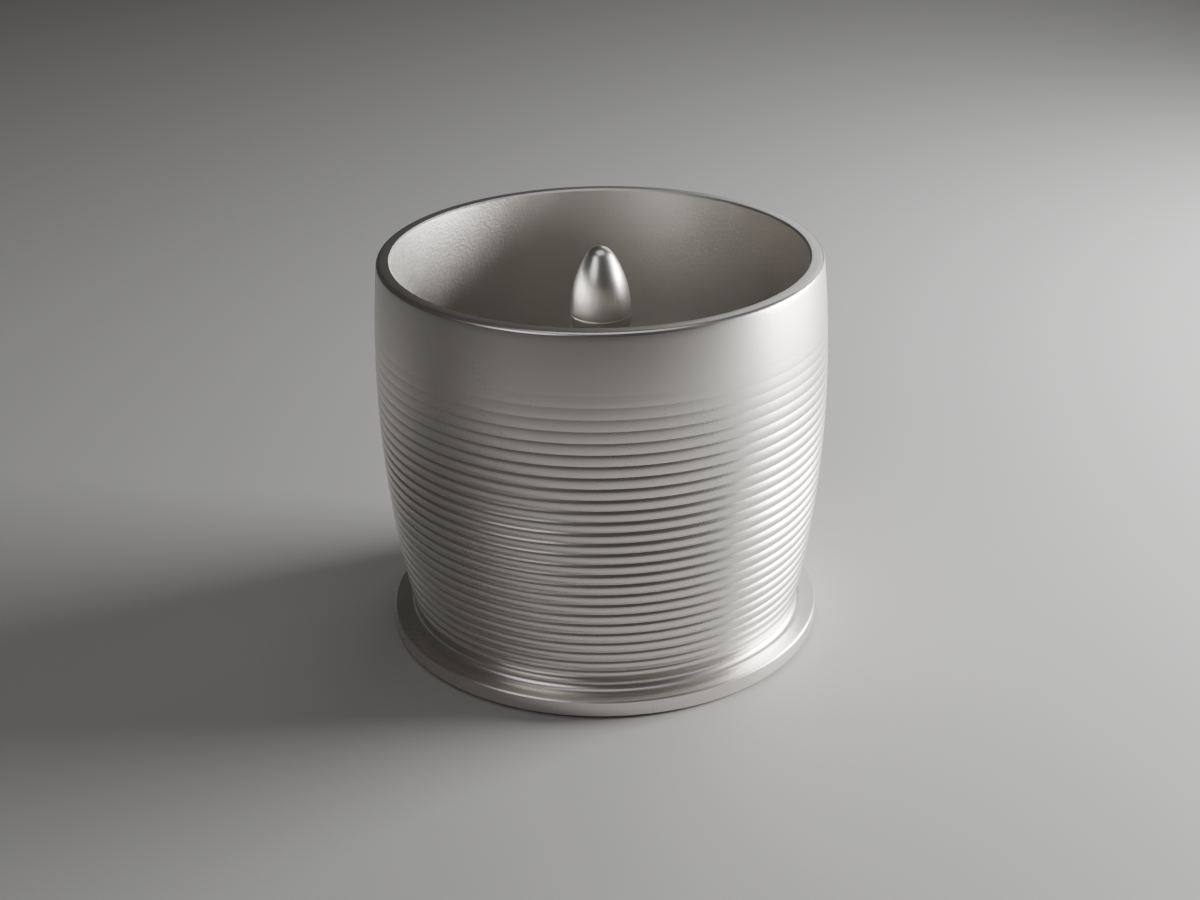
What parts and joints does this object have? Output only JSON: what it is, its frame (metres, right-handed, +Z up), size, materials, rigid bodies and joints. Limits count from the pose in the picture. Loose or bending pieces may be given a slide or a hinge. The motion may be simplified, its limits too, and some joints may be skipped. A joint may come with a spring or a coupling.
{
  "type": "dosing tumbler",
  "caption": "Ribbed barrel-shaped aluminium cup on a flanged foot. A lift-out plug with a polished bullet-shaped knob closes its open floor.",
  "frame": {"origin": "on the cup's axis, at the surface that the cup stands on", "axes": "+Z up along the cup's axis, towards the mouth and the knob; the cup is round, so X and Y are free"},
  "size_m": [0.0712, 0.0712, 0.0634],
  "materials": {
    "cup_metal": "fine bead-blasted and clear anodised, satin",
    "plug_metal": "fine bead-blasted and clear anodised, satin",
    "knob_steel": "polished",
    "stem_steel": "fine turned",
    "seat_steel": "fine turned",
    "fastener_steel": "plain",
    "foot_silicone": "matt silicone",
    "seal_rubber": "matt"
  },
  "bodies": {
    "cup": {"cup_shell": "cup_metal", "seat_ring": "seat_steel", "foot_ring": "foot_silicone"},
    "plug": {"plug_disc": "plug_metal", "plug_seal": "seal_rubber", "ballast_plate": "seat_steel", "plug_washer": "fastener_steel", "plug_screw": "fastener_steel", "stem": "stem_steel", "knob_base": "knob_steel", "knob_nose": "knob_steel"}
  },
  "joints": [
    {"name": "plug_lift", "type": "slide", "parent": "cup", "child": "plug", "axis": [0, 0, 1], "range_m": [0, 0.07]}
  ]
}
